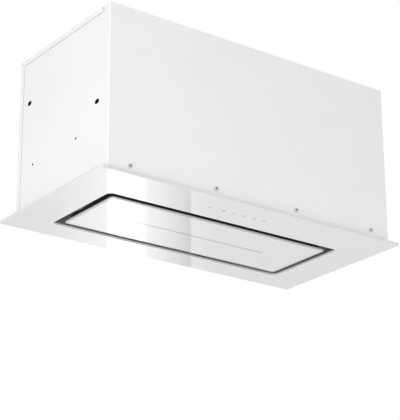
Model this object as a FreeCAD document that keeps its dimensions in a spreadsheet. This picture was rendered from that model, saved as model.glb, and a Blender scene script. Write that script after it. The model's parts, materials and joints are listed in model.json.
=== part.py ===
"""Built-in ceiling range hood: white glass plate with a perimeter slot, and a folded sheet housing.

Millimetres. The origin is the middle of the glass plate's underside. +X runs along the hood's
length, +Y away from the side with the touch marks, +Z up.
"""
import FreeCAD, Part
import math
import os
import re

import Sketcher
from FreeCAD import Vector

# Driving dimensions, in millimetres and degrees.
CELLS = {
    # glass plate and its slot
    "plate_long": 700, "plate_wide": 350, "plate_corner": 5,
    "glass_thick": 4, "glass_bevel": 0.6, "tape_thick": 1,
    "slot_long": 538, "slot_wide": 198, "slot_corner": 11, "slot_shift": 18.5,
    "air_gap": 16.5, "panel_corner": 8,
    # housing
    "side_lap": 21, "front_lap": 9.5, "back_lap": 24, "shell_high": 326,
    "metal": 1, "bend": 2.5, "fit_gap": 0.1, "seam": 0.9,
    "top_strip": 12, "back_strip": 13.6, "lip_deep": 12, "lip_inset": 14,
    "notch_long": 26, "notch_ear": 3, "notch_round": 10, "notch_step": 10, "notch_slope": 4,
    "relief_wide": 24,
    # mounting holes in the side walls
    "key_hole": 8.5, "key_inset": 38, "key_high": 226, "key_low": 141,
    "clip_hole": 4.6, "clip_inset": 107, "clip_back": 58, "clip_rise": 93,
    # tray that the plate is bonded to
    "tray_rise": 30, "collar_set": 1.5, "collar_rise": 34, "ledge_side": 48, "ledge_front": 16,
    "ledge_back": 37,
    # hinged panel
    "pan_inset": 10, "pan_deep": 12, "pan_lip": 12, "pan_metal": 0.8,
    "light_long": 318, "lamp_wide": 16, "lamp_deep": 10, "lamp_wall": 1.5,
    "board_thick": 1.6, "board_wide": 10, "opal_thick": 2.5,
    "pivot_back": 19.5, "pivot_rise": 15, "pin_thick": 4, "pin_play": 0.05, "pin_tail": 1,
    "knuckle": 10,
    "hinge_inset": 16, "knuckle_wide": 8, "ear_thick": 2, "ear_wide": 12, "ear_play": 0.5,
    "catch_at": 60, "magnet_wide": 14, "magnet_thick": 4.2, "strike_long": 24, "strike_thick": 1.5,
    "catch_metal": 1.5, "catch_arm": 20, "rest_gap": 0.3,
    # grease filter
    "filter_thick": 9.5, "filter_side": 40, "filter_front": 2, "filter_back": 31, "rail_wide": 14,
    "mesh_thick": 2.4, "mesh_set": 7, "mesh_gap": 0.4,
    "mesh_pitch": 54, "mesh_row": 28, "mesh_hole": 42, "mesh_bar": 20,
    "shelf_at": 120, "shelf_wide": 30, "shelf_reach": 8, "shelf_metal": 1.2,
    "latch_long": 84, "latch_deep": 34, "latch_box": 60, "latch_room": 24, "latch_floor": 2,
    "bezel_wall": 1.5, "slider_long": 44, "slider_deep": 12, "slider_thick": 4.5,
    "tongue_wide": 18, "tongue_thick": 2.5, "tongue_reach": 3,
    "slide_play": 0.3, "grip_side": 6, "grip_near": 4, "grip_deep": 2.5,
    # blower
    "shaft_drop": 157, "shaft_setback": 115, "scroll_small": 84, "scroll_step": 16,
    "scroll_wall": 2.5, "scroll_half": 60, "throat_left": 12, "inlet": 58,
    "outlet_rim": 8, "rim_thick": 3,
    "wheel_tip": 76, "wheel_inner": 60, "ring_inner": 59, "wheel_half": 54, "ring_thick": 2,
    "disc_thick": 2, "hub_round": 11, "hub_half": 13, "blade_curve": 12, "blade_start": 10,
    "blade_turn": 76, "blade_thick": 1.1, "blades": 28,
    "axle": 8, "axle_play": 0.05,
    "motor_round": 42, "motor_near": 16, "bracket_thick": 3,
    "arm_wide": 14, "arm_reach": 84, "bracket_core": 30, "arms": 3,
    # outlet
    "duct": 149, "duct_wall": 2.5, "duct_rise": 48, "flange_wide": 12, "flange_thick": 3,
    "duct_fit": 0.5, "damper_rise": 16, "bar_thick": 4, "flap_thick": 1.6, "flap_drop": 4,
    "flap_gap": 1, "flap_play": 0.8, "eye_round": 4.6, "eye_play": 0.8, "eye_long": 14,
    "seat_reach": 6, "seat_wide": 9, "stop_reach": 3, "stop_wide": 10, "stop_thick": 2,
    "hook_at": 50, "hook_set": 2.5, "hook_wide": 10, "hook_thick": 2, "hook_play": 0.3,
    "hook_barb": 1.5, "hook_tip": 3,
    # electrics
    "box_long": 120, "box_wide": 96, "box_deep": 42, "box_wall": 2, "box_inset": 24,
    "lid_thick": 2, "circuit_thick": 1.6, "circuit_rise": 8,
    "can_long": 58, "can_wide": 24, "can_deep": 34, "can_foot": 8,
    "gland_long": 24, "gland_wide": 15, "gland_lip": 3, "gland_rise": 12, "gland_drop": 9,
    "gland_bore": 8, "gland_at": 40,
    "touch_long": 190, "touch_wide": 26, "touch_deep": 12, "touch_line": 48.7, "touch_mid": 15.5,
}

# Places and sizes worked out from the cells.
PLACES = {
    "shell_half": "plate_long / 2 - side_lap",
    "shell_front": "-plate_wide / 2 + front_lap",
    "shell_back": "plate_wide / 2 - back_lap",
    "shell_foot": "glass_thick + tape_thick",
    "shell_top": "shell_foot + shell_high",
    "wall_top": "shell_top - top_strip",
    "wall_back": "shell_back - back_strip",
    "ceiling": "shell_top - metal",
    "collar_half": "slot_long / 2 + collar_set",
    "collar_front": "slot_shift - slot_wide / 2 - collar_set",
    "collar_back": "slot_shift + slot_wide / 2 + collar_set",
    "collar_top": "shell_foot + collar_rise",
    "ledge_low": "collar_top - metal",
    "panel_half": "slot_long / 2 - air_gap",
    "panel_front": "slot_shift - slot_wide / 2 + air_gap",
    "panel_back": "slot_shift + slot_wide / 2 - air_gap",
    "pan_half": "panel_half - pan_inset",
    "pan_front": "panel_front + pan_inset",
    "pan_back": "panel_back - pan_inset",
    "pan_top": "glass_thick + pan_deep",
    "lamp_half": "light_long / 2 + lamp_wall",
    "lamp_top": "glass_thick + lamp_deep",
    "pivot_line": "collar_back - collar_set - pivot_back",
    "hinge_line": "pan_half - hinge_inset",
    "catch_line": "slot_shift - catch_at",
    "strike_top": "pan_top + strike_thick",
    "magnet_low": "strike_top + rest_gap",
    "catch_low": "magnet_low + magnet_thick",
    "filter_half": "collar_half - filter_side",
    "filter_near": "collar_front + filter_front",
    "filter_far": "collar_back - filter_back",
    "filter_top": "ledge_low - rest_gap",
    "filter_low": "filter_top - filter_thick",
    "mesh_level": "filter_top - filter_thick / 2",
    "latch_back": "filter_near + latch_deep",
    "room_near": "filter_near + (latch_deep - latch_room) / 2",
    "room_far": "room_near + latch_room",
    "slider_near": "room_near + bezel_wall + slide_play",
    "shaft_line": "shell_front + shaft_setback",
    "shaft_level": "ceiling - shaft_drop",
    "duct_line": "shaft_line + (throat_left + scroll_half_step + scroll_big) / 2",
    "scroll_half_step": "scroll_step / 2",
    "scroll_big": "scroll_small + 3 * scroll_step",
    "hook_line": "scroll_half + hook_set",
    "gland_line": "shell_back - gland_at",
    "gland_out": "shell_half - box_inset - box_long / 2",
    "box_near": "shell_front + box_inset",
    "touch_front": "-plate_wide / 2 + touch_line - touch_wide / 2",
}

WORD = re.compile(r"[a-z][a-z_]*\b(?!\()")

doc = FreeCAD.newDocument("range_hood")
sizes = doc.addObject("Spreadsheet::Sheet", "sizes")
parts = []


def fill_sheet():
    """Each driving dimension goes into a row of its own, with its name as the alias."""
    for row, (name, value) in enumerate(CELLS.items(), start=1):
        sizes.set(f"A{row}", name)
        sizes.set(f"B{row}", str(value))
        sizes.setAlias(f"B{row}", name)
    doc.recompute()


def formula(text):
    """The text as an expression in which each word points to its cell or worked-out place."""
    def spell(found):
        word = found[0]
        if word in PLACES:
            return "(" + formula(PLACES[word]) + ")"
        return "sizes." + word if word in CELLS else word
    return WORD.sub(spell, str(text))


def number(text):
    """The value of a formula now."""
    return float(sizes.evalExpression(formula(text)))


def new_body(name, x="0", y="0", z="0"):
    """A body whose own origin stands at x, y, z."""
    body = doc.addObject("PartDesign::Body", name)
    body.Label = name
    body.AllowCompound = True
    for axis, text in zip("xyz", (x, y, z)):
        body.setExpression(f"Placement.Base.{axis}", formula(text))
    parts.append(body)
    return body


def origin_feature(body, role):
    return next(item for item in body.Origin.OriginFeatures if item.Role == role)


def sketch(body, name, plane, height="0"):
    """A sketch on one of the body's planes, moved by height along the plane's normal.

    XY has its normal along +Z, YZ along +X, and XZ along -Y.
    """
    drawing = body.newObject("Sketcher::SketchObject", name)
    drawing.AttachmentSupport = [(origin_feature(body, plane + "_Plane"), "")]
    drawing.MapMode = "FlatFace"
    drawing.setExpression("AttachmentOffset.Base.z", formula(height))
    return drawing


def bind(drawing, constraint, text):
    drawing.setExpression(f"Constraints[{drawing.addConstraint(constraint)}]", formula(text))


def pin(drawing, shape, end, x, y):
    """Holds a point of a shape at x, y from the sketch's origin."""
    bind(drawing, Sketcher.Constraint("DistanceX", -1, 1, shape, end, number(x)), x)
    bind(drawing, Sketcher.Constraint("DistanceY", -1, 1, shape, end, number(y)), y)


def arc_between(start, end, radius):
    """An arc that turns left from start to end, or right where the radius is negative."""
    first, last = (start, end) if radius > 0 else (end, start)
    chord = last - first
    reach = math.sqrt(max(radius ** 2 - (chord.Length / 2) ** 2, 0))
    left = Vector(-chord.y, chord.x, 0).normalize()
    centre = (first + last) / 2 + left * reach
    begin = math.atan2(first.y - centre.y, first.x - centre.x)
    stop = math.atan2(last.y - centre.y, last.x - centre.x)
    circle = Part.Circle(centre, Vector(0, 0, 1), abs(radius))
    return Part.ArcOfCircle(circle, begin, stop if stop > begin else stop + 2 * math.pi)


def outline(drawing, points):
    """A closed outline. Each point is (x, y), or (x, y, radius) where an arc leaves it."""
    base = drawing.GeometryCount
    spots = [Vector(number(p[0]), number(p[1]), 0) for p in points]
    ends = []
    for k, point in enumerate(points):
        here, there = spots[k], spots[(k + 1) % len(spots)]
        radius = number(point[2]) if len(point) > 2 else 0
        shape = arc_between(here, there, radius) if radius else Part.LineSegment(here, there)
        drawing.addGeometry(shape, False)
        ends.append((2, 1) if radius < 0 else (1, 2))
    for k, point in enumerate(points):
        after = (k + 1) % len(points)
        drawing.addConstraint(
            Sketcher.Constraint("Coincident", base + k, ends[k][1], base + after, ends[after][0]))
        pin(drawing, base + k, ends[k][0], point[0], point[1])
        if len(point) > 2:
            radius = abs(number(point[2]))
            bind(drawing, Sketcher.Constraint("Radius", base + k, radius), f"abs({point[2]})")


def rectangle(drawing, left, right, low, high):
    outline(drawing, [(left, low), (right, low), (right, high), (left, high)])


def soft_rectangle(drawing, left, right, low, high, radius):
    """A rectangle with rounded corners."""
    outline(drawing, [
        (f"{left} + {radius}", low), (f"{right} - {radius}", low, radius),
        (right, f"{low} + {radius}"), (right, f"{high} - {radius}", radius),
        (f"{right} - {radius}", high), (f"{left} + {radius}", high, radius),
        (left, f"{high} - {radius}"), (left, f"{low} + {radius}", radius)])


def circle(drawing, x, y, radius):
    shape = drawing.addGeometry(
        Part.Circle(Vector(number(x), number(y), 0), Vector(0, 0, 1), number(radius)), False)
    pin(drawing, shape, 3, x, y)
    bind(drawing, Sketcher.Constraint("Radius", shape, number(radius)), radius)


def hexagon(drawing, x, y, radius):
    """A regular hexagon with two corners level with its middle."""
    turns = [f"{60 * k}" for k in range(6)]
    outline(drawing, [(f"{x} + {radius} * cos({t})", f"{y} + {radius} * sin({t})") for t in turns])


def feature(body, kind, name, drawing):
    made = body.newObject(f"PartDesign::{kind}", name)
    made.Profile = drawing
    return made


def pad(body, drawing, name, length, both=False, back=False):
    """Fills the sketch along its normal, or to both sides of it, or backwards."""
    made = feature(body, "Pad", name, drawing)
    made.setExpression("Length", formula(length))
    made.SideType = "Symmetric" if both else "One side"
    made.Reversed = back
    return made


def pocket(body, drawing, name, depth, both=False, back=False):
    """Cuts the sketch against its normal, or to both sides of it, or along the normal."""
    made = feature(body, "Pocket", name, drawing)
    made.setExpression("Length", formula(depth))
    made.SideType = "Symmetric" if both else "One side"
    made.Reversed = back
    return made


def revolve(body, drawing, name, axis, groove=False):
    """Turns the sketch all the way about its own H_Axis or V_Axis."""
    made = feature(body, "Groove" if groove else "Revolution", name, drawing)
    made.ReferenceAxis = (drawing, [axis])
    made.Angle = 360
    return made


def mirrored(body, name, originals, plane):
    made = body.newObject("PartDesign::Mirrored", name)
    made.Originals = originals
    made.MirrorPlane = (origin_feature(body, plane + "_Plane"), [""])
    body.Tip = made
    return made


def polar(body, name, originals, axis, count):
    made = body.newObject("PartDesign::PolarPattern", name)
    made.Originals = originals
    made.Axis = (origin_feature(body, axis + "_Axis"), [""])
    made.Angle = 360
    made.setExpression("Occurrences", formula(count))
    body.Tip = made
    return made


def dress(body, kind, name, edges, size):
    """A fillet or chamfer on the edges of the body's tip that the test picks."""
    doc.recompute()
    base = body.Tip
    picked = [f"Edge{k}" for k, edge in enumerate(base.Shape.Edges, start=1) if edges(edge)]
    made = body.newObject(f"PartDesign::{kind}", name)
    made.Base = (base, picked)
    made.setExpression("Radius" if kind == "Fillet" else "Size", formula(size))
    return made


def hollow(body, name, faces, thickness):
    """Leaves a wall of that thickness, open at the faces that the test picks."""
    doc.recompute()
    base = body.Tip
    picked = [f"Face{k}" for k, face in enumerate(base.Shape.Faces, start=1) if faces(face)]
    made = body.newObject("PartDesign::Thickness", name)
    made.Base = (base, picked)
    made.setExpression("Value", formula(thickness))
    made.Reversed = True
    return made


def flat(shape, axis, sign=0):
    """True for a plane face whose normal lies along the axis, on the side that sign names."""
    if shape.Surface.TypeId != "Part::GeomPlane":
        return False
    lean = getattr(shape.normalAt(0, 0), axis)
    return lean * sign > 0.99 if sign else abs(lean) > 0.99


def runs(edge, axis):
    """True for a straight edge along the axis."""
    if edge.Curve.TypeId != "Part::GeomLine":
        return False
    return abs(getattr(edge.tangentAt(edge.FirstParameter), axis)) > 0.99


def near(value, text):
    return abs(value - number(text)) < 0.01


# ---- glass plate -------------------------------------------------------------------------


def make_glass_frame():
    body = new_body("glass_frame")
    plate = sketch(body, "plate_outline", "XY")
    soft_rectangle(plate, "-plate_long / 2", "plate_long / 2", "-plate_wide / 2",
                   "plate_wide / 2", "plate_corner")
    soft_rectangle(plate, "-slot_long / 2", "slot_long / 2", "slot_shift - slot_wide / 2",
                   "slot_shift + slot_wide / 2", "slot_corner")
    pad(body, plate, "plate", "glass_thick")
    dress(body, "Chamfer", "plate_bevel", lambda e: near(e.BoundBox.ZMax, "0"), "glass_bevel")


def make_glass_tape():
    """Bonding tape from the slot's rim to the outside of the housing, open over the touch unit."""
    body = new_body("glass_tape")
    ring = sketch(body, "tape_outline", "XY", "glass_thick")
    rectangle(ring, "-shell_half", "shell_half", "shell_front", "shell_back")
    rectangle(ring, "-collar_half", "collar_half", "collar_front", "collar_back")
    touch_window(ring)
    pad(body, ring, "tape", "tape_thick")


def touch_window(drawing):
    rectangle(drawing, "-touch_mid - touch_long / 2 - 1", "-touch_mid + touch_long / 2 + 1",
              "touch_front - 1", "touch_front + touch_wide + 1")


# ---- housing -----------------------------------------------------------------------------


def make_front_shell():
    """Front wall and both side walls, folded from one sheet."""
    body = new_body("front_shell")
    plan = sketch(body, "plan", "XY", "shell_foot")
    rectangle(plan, "-shell_half", "shell_half", "shell_front", "wall_back - seam")
    pad(body, plan, "block", "shell_high")
    dress(body, "Fillet", "bends",
          lambda e: runs(e, "z") and near(e.BoundBox.YMin, "shell_front"), "bend")
    hollow(body, "walls", lambda f: flat(f, "z") or flat(f, "y", 1), "metal")
    drop = sketch(body, "side_drop", "YZ")
    outline(drop, [
        ("shell_front + notch_ear", "shell_top"),
        ("shell_front + notch_ear", "shell_top + 1"),
        ("shell_back", "shell_top + 1"),
        ("shell_back", "wall_top - seam"),
        ("shell_front + notch_long - notch_slope", "wall_top - seam"),
        ("shell_front + notch_ear + notch_round", "shell_top - notch_step", "notch_round")])
    pocket(body, drop, "side_tops", "plate_long", both=True)
    add_lips(body)
    add_front_return(body)
    add_shell_holes(body)


def add_lips(body):
    """Stepped lips behind the top and back strips, spot-welded inside the side walls."""
    lip = sketch(body, "lip_outline", "YZ", "shell_half - 2 * metal")
    outline(lip, [
        ("shell_front + notch_long + notch_slope", "wall_top - lip_deep"),
        ("wall_back - lip_deep", "wall_top - lip_deep"),
        ("wall_back - lip_deep", "shell_foot + tray_rise + bend"),
        ("shell_back - metal - bend", "shell_foot + tray_rise + bend"),
        ("shell_back - metal - bend", "shell_top - metal - bend"),
        ("shell_front + notch_long + notch_slope", "shell_top - metal - bend")])
    right = pad(body, lip, "lip", "metal")
    mirrored(body, "lips", [right], "YZ")


def add_front_return(body):
    """A flange at the top of the front wall that carries the top panel's front edge."""
    plan = sketch(body, "return_outline", "XY", "ceiling - metal")
    rectangle(plan, "-shell_half + relief_wide + notch_slope",
              "shell_half - relief_wide - notch_slope",
              "shell_front + metal / 2", "shell_front + metal + lip_inset")
    pad(body, plan, "front_return", "metal")


def add_shell_holes(body):
    side = sketch(body, "side_holes", "YZ")
    circle(side, "shell_back - key_inset", "shell_foot + key_high", "key_hole / 2")
    circle(side, "shell_front + key_inset", "shell_foot + key_low", "key_hole / 2")
    circle(side, "shell_front + clip_inset", "shell_foot + clip_rise", "clip_hole / 2")
    circle(side, "shell_back - clip_back", "shell_foot + clip_rise", "clip_hole / 2")
    pocket(body, side, "mounting_holes", "plate_long", both=True)


def make_top_panel():
    """Top sheet with a folded flange at each side, mitred at the back."""
    body = new_body("top_panel")
    plan = sketch(body, "plan", "XY", "wall_top")
    rectangle(plan, "-shell_half", "shell_half", "shell_front + metal + fit_gap", "shell_back")
    pad(body, plan, "block", "top_strip")
    dress(body, "Fillet", "bends",
          lambda e: runs(e, "y") and near(e.BoundBox.ZMin, "shell_top"), "bend")
    hollow(body, "tray", lambda f: flat(f, "y") or flat(f, "z", -1), "metal")
    mitre = sketch(body, "mitre", "YZ")
    outline(mitre, [
        ("wall_back - seam", "wall_top - 1"), ("shell_back + 1", "wall_top - 1"),
        ("shell_back + 1", "ceiling"), ("shell_back - metal", "ceiling"),
        ("wall_back - seam", "wall_top")])
    pocket(body, mitre, "mitre_cut", "plate_long", both=True)
    relief = sketch(body, "reliefs", "XY", "shell_top")
    rectangle(relief, "shell_half - relief_wide", "shell_half + 1", "shell_front",
              "shell_front + notch_long")
    rectangle(relief, "-shell_half - 1", "-shell_half + relief_wide", "shell_front",
              "shell_front + notch_long")
    pocket(body, relief, "corner_reliefs", "2 * top_strip", both=True)
    holes = sketch(body, "top_holes", "XY", "shell_top")
    circle(holes, "0", "duct_line", "duct / 2 - duct_wall + duct_fit")
    rectangle(holes, "gland_out - gland_long / 2 - fit_gap", "gland_out + gland_long / 2 + fit_gap",
              "gland_line - gland_wide / 2 - fit_gap", "gland_line + gland_wide / 2 + fit_gap")
    hook_slots(holes, "duct_line", ("-", ""))
    pocket(body, holes, "top_openings", "4 * metal", both=True)


def make_back_panel():
    """Back sheet with a folded flange at each side and a return under the top sheet."""
    body = new_body("back_panel")
    plan = sketch(body, "plan", "XY", "shell_foot")
    rectangle(plan, "-shell_half", "shell_half", "wall_back", "shell_back")
    pad(body, plan, "block", "shell_high - metal")
    dress(body, "Fillet", "bends",
          lambda e: runs(e, "z") and near(e.BoundBox.YMin, "shell_back"), "bend")
    hollow(body, "tray", lambda f: flat(f, "z") or flat(f, "y", -1), "metal")
    mitre = sketch(body, "mitre", "YZ")
    outline(mitre, [
        ("wall_back - 1", "wall_top"), ("wall_back", "wall_top - seam"),
        ("shell_back - metal", "ceiling - seam"), ("shell_back - metal", "shell_top + 1"),
        ("wall_back - 1", "shell_top + 1")])
    pocket(body, mitre, "mitre_cut", "plate_long", both=True)
    plate = sketch(body, "return_outline", "XY", "ceiling - metal")
    rectangle(plate, "-shell_half + lip_inset", "shell_half - lip_inset",
              "shell_back - metal - lip_inset", "shell_back - metal / 2")
    pad(body, plate, "top_return", "metal")


def make_base_frame():
    """Steel tray bonded to the glass: upstand inside the housing, and a collar with a ledge."""
    body = new_body("base_frame")
    plan = sketch(body, "plan", "XY", "shell_foot")
    inner = "metal + fit_gap"
    rectangle(plan, f"-shell_half + {inner}", f"shell_half - ({inner})",
              f"shell_front + {inner}", f"shell_back - ({inner})")
    pad(body, plan, "block", "tray_rise")
    dress(body, "Chamfer", "corners", lambda e: runs(e, "z"), "bend")
    hollow(body, "tray", lambda f: flat(f, "z", 1), "metal")
    collar = sketch(body, "collar_outline", "XY", "shell_foot")
    slot_ring(collar, "collar_set + metal")
    pad(body, collar, "collar_block", "collar_rise")
    bore = sketch(body, "collar_bore", "XY", "shell_foot")
    slot_ring(bore, "collar_set")
    pocket(body, bore, "slot_opening", "collar_rise - metal", back=True)
    ledge = sketch(body, "ledge_outline", "XY", "collar_top")
    rectangle(ledge, "-collar_half + ledge_side", "collar_half - ledge_side",
              "collar_front + ledge_front", "collar_back - ledge_back")
    pocket(body, ledge, "ledge_opening", "4 * metal", both=True)
    window = sketch(body, "touch_window", "XY", "shell_foot")
    touch_window(window)
    pocket(body, window, "touch_opening", "4 * metal", both=True)
    catch = sketch(body, "latch_slot_outline", "XZ", "-collar_front")
    tongue_shape(catch, "1")
    pocket(body, catch, "latch_slot", "4 * metal", both=True)


def slot_ring(drawing, spare):
    """The slot's outline with spare room all round."""
    soft_rectangle(drawing, f"-slot_long / 2 - ({spare})", f"slot_long / 2 + {spare}",
                   f"slot_shift - slot_wide / 2 - ({spare})",
                   f"slot_shift + slot_wide / 2 + {spare}", f"(slot_corner + {spare})")


# ---- hinged panel ------------------------------------------------------------------------


def make_panel_glass():
    body = new_body("panel_glass")
    plate = sketch(body, "glass_outline", "XY")
    soft_rectangle(plate, "-panel_half", "panel_half", "panel_front", "panel_back",
                   "panel_corner")
    pad(body, plate, "glass", "glass_thick")
    dress(body, "Chamfer", "glass_edge", lambda e: near(e.BoundBox.ZMax, "0"), "glass_bevel")


def make_panel_tray():
    """Shallow pan on the back of the glass: upturned walls and an inward lip."""
    body = new_body("panel_tray")
    plan = sketch(body, "plan", "XY", "glass_thick")
    rectangle(plan, "-pan_half", "pan_half", "pan_front", "pan_back")
    pad(body, plan, "block", "pan_deep")
    hollow(body, "pan", lambda f: flat(f, "z", 1), "pan_metal")
    lip = sketch(body, "lip_outline", "XY", "pan_top - pan_metal")
    rectangle(lip, "-pan_half + pan_metal / 2", "pan_half - pan_metal / 2",
              "pan_front + pan_metal / 2", "pan_back - pan_metal / 2")
    rectangle(lip, "-pan_half + pan_lip", "pan_half - pan_lip",
              "pan_front + pan_lip", "pan_back - pan_lip")
    pad(body, lip, "lip", "pan_metal")
    slot = sketch(body, "lamp_slot_outline", "XY", "glass_thick")
    rectangle(slot, "-lamp_half - fit_gap", "lamp_half + fit_gap",
              "slot_shift - lamp_wide / 2 - fit_gap", "slot_shift + lamp_wide / 2 + fit_gap")
    pocket(body, slot, "lamp_slot", "4 * pan_metal", both=True)


def make_lamp():
    """LED bar over the clear window in the inner glass: profile, board and opal cover."""
    body = new_body("led_profile")
    end = sketch(body, "profile_outline", "YZ")
    outline(end, [
        ("slot_shift - lamp_wide / 2", "glass_thick"),
        ("slot_shift - lamp_wide / 2 + lamp_wall", "glass_thick"),
        ("slot_shift - lamp_wide / 2 + lamp_wall", "lamp_top - lamp_wall"),
        ("slot_shift + lamp_wide / 2 - lamp_wall", "lamp_top - lamp_wall"),
        ("slot_shift + lamp_wide / 2 - lamp_wall", "glass_thick"),
        ("slot_shift + lamp_wide / 2", "glass_thick"),
        ("slot_shift + lamp_wide / 2", "lamp_top"),
        ("slot_shift - lamp_wide / 2", "lamp_top")])
    pad(body, end, "profile", "2 * lamp_half", both=True)

    body = new_body("led_board")
    strip = sketch(body, "board_outline", "XY", "lamp_top - lamp_wall")
    rectangle(strip, "-light_long / 2", "light_long / 2", "slot_shift - board_wide / 2",
              "slot_shift + board_wide / 2")
    pad(body, strip, "board", "board_thick", back=True)

    body = new_body("led_diffuser")
    strip = sketch(body, "opal_outline", "XY", "glass_thick")
    inside = "lamp_wide / 2 - lamp_wall - fit_gap"
    rectangle(strip, "-light_long / 2", "light_long / 2",
              f"slot_shift - ({inside})", f"slot_shift + {inside}")
    pad(body, strip, "opal", "opal_thick")


def make_hinges():
    """Two ears that hang from the rear ledge, a pin on each, and the panel's knuckles."""
    inner = "hinge_line + knuckle_wide / 2 + ear_play"
    body = new_body("hinge_brackets")
    side = sketch(body, "ear_outline", "YZ", inner)
    ear_shape(side)
    ear = pad(body, side, "ear", "ear_thick")
    top = sketch(body, "foot_outline", "YZ", f"{inner} + ear_thick")
    rectangle(top, "pivot_line - ear_wide / 2", "pivot_line + ear_wide / 2",
              "ledge_low - ear_thick", "ledge_low")
    foot = pad(body, top, "foot", "2 * knuckle_wide", back=True)
    mirrored(body, "second_bracket", [ear, foot], "YZ")

    body = new_body("hinge_pins")
    end = sketch(body, "pin_outline", "YZ", inner)
    circle(end, "pivot_line", "pivot_rise", "pin_thick / 2")
    shaft = pad(body, end, "pin", "2 * ear_play + knuckle_wide + pin_tail", back=True)
    mirrored(body, "second_pin", [shaft], "YZ")

    body = new_body("hinge_knuckles")
    side = sketch(body, "knuckle_outline", "YZ", "hinge_line")
    knuckle_shape(side)
    knuckle = pad(body, side, "knuckle_block", "knuckle_wide", both=True)
    hole = sketch(body, "eye_outline", "YZ", "hinge_line")
    circle(hole, "pivot_line", "pivot_rise", "pin_thick / 2 + pin_play")
    eye = pocket(body, hole, "eye", "4 * knuckle_wide", both=True)
    mirrored(body, "second_knuckle", [knuckle, eye], "YZ")


def ear_shape(drawing):
    """A fixed ear: cut back below the pivot, straight up to the ledge."""
    half, low = "ear_wide / 2", "pivot_rise - ear_wide / 2"
    outline(drawing, [
        (f"pivot_line - {half} / 2", low), (f"pivot_line + {half} / 2", low),
        (f"pivot_line + {half}", f"{low} + {half} / 2"), (f"pivot_line + {half}", "ledge_low"),
        (f"pivot_line - {half}", "ledge_low"), (f"pivot_line - {half}", f"{low} + {half} / 2")])


def knuckle_shape(drawing):
    """A knuckle: its corners cut back round the pivot, with a foot on the pan's rear wall."""
    half = "knuckle / 2"
    outline(drawing, [
        ("pan_back", "glass_thick + pan_metal"), (f"pivot_line + {half} / 2", f"pivot_rise - {half}"),
        (f"pivot_line + {half}", f"pivot_rise - {half} / 2"),
        (f"pivot_line + {half}", f"pivot_rise + {half} / 2"),
        (f"pivot_line + {half} / 2", f"pivot_rise + {half}"), ("pan_back", "pan_top")])


def make_catches():
    """Magnets on arms from the collar's sides, and strike plates on the pan's lip."""
    body = new_body("catch_arms")
    side = sketch(body, "arm_outline", "XZ", "-catch_line")
    outline(side, [
        ("collar_half", "catch_low"), ("collar_half", "catch_low + catch_arm / 2"),
        ("collar_half - catch_metal", "catch_low + catch_arm / 2"),
        ("collar_half - catch_metal", "catch_low + catch_metal"),
        ("pan_half - pan_lip", "catch_low + catch_metal"), ("pan_half - pan_lip", "catch_low")])
    arm = pad(body, side, "arm", "catch_arm", both=True)
    mirrored(body, "second_arm", [arm], "YZ")
    for name, low, thick, long in (("catch_magnets", "magnet_low", "magnet_thick", "magnet_wide"),
                                   ("strike_plates", "pan_top", "strike_thick", "strike_long")):
        body = new_body(name)
        plan = sketch(body, "plan", "XY", low)
        rectangle(plan, "pan_half - pan_lip + 1", "pan_half - 1",
                  f"catch_line - {long} / 2", f"catch_line + {long} / 2")
        block = pad(body, plan, "block", thick)
        mirrored(body, "second_block", [block], "YZ")


# ---- grease filter -----------------------------------------------------------------------


def make_filter_frame():
    """Folded channel round the mesh, with a wider pad at the front for the latch."""
    body = new_body("filter_frame")
    plan = sketch(body, "plan", "XY", "filter_low")
    rectangle(plan, "-filter_half", "filter_half", "filter_near", "filter_far")
    pad(body, plan, "block", "filter_thick")
    inside = sketch(body, "opening_outline", "XY", "filter_low")
    outline(inside, [
        ("-filter_half + rail_wide", "filter_near + rail_wide"),
        ("-latch_long / 2", "filter_near + rail_wide"), ("-latch_long / 2", "latch_back"),
        ("latch_long / 2", "latch_back"), ("latch_long / 2", "filter_near + rail_wide"),
        ("filter_half - rail_wide", "filter_near + rail_wide"),
        ("filter_half - rail_wide", "filter_far - rail_wide"),
        ("-filter_half + rail_wide", "filter_far - rail_wide")])
    pocket(body, inside, "opening", "4 * filter_thick", both=True)
    groove = sketch(body, "groove_outline", "XY", "mesh_level")
    mesh_shape(groove, "0")
    pocket(body, groove, "groove", "mesh_thick + 2 * mesh_gap", both=True)
    room = sketch(body, "latch_room_outline", "XY", "filter_low")
    rectangle(room, "-latch_box / 2", "latch_box / 2", "room_near", "room_far")
    pocket(body, room, "latch_room", "filter_thick - latch_floor", back=True)
    slot = sketch(body, "tongue_slot_outline", "XZ", "-filter_near")
    tongue_shape(slot, "slide_play")
    pocket(body, slot, "tongue_slot", "2 * (latch_deep - latch_room)", both=True)


def mesh_shape(drawing, spare):
    """The mesh's outline, stepped round the latch pad, larger or smaller by spare."""
    side, near_edge, far_edge = "filter_half - mesh_set", "filter_near + mesh_set", \
        "filter_far - mesh_set"
    outline(drawing, [
        (f"-({side}) + {spare}", f"{near_edge} + {spare}"),
        (f"-latch_long / 2 - {spare}", f"{near_edge} + {spare}"),
        (f"-latch_long / 2 - {spare}", f"latch_back + {spare}"),
        (f"latch_long / 2 + {spare}", f"latch_back + {spare}"),
        (f"latch_long / 2 + {spare}", f"{near_edge} + {spare}"),
        (f"{side} - {spare}", f"{near_edge} + {spare}"),
        (f"{side} - {spare}", f"{far_edge} - {spare}"),
        (f"-({side}) + {spare}", f"{far_edge} - {spare}")])


def tongue_shape(drawing, spare):
    """The latch tongue's section, at the level of the slider's back."""
    low = "filter_low + bezel_wall + slide_play"
    rectangle(drawing, f"-tongue_wide / 2 - {spare}", f"tongue_wide / 2 + {spare}",
              f"{low} - {spare}", f"{low} + tongue_thick + {spare}")


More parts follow.
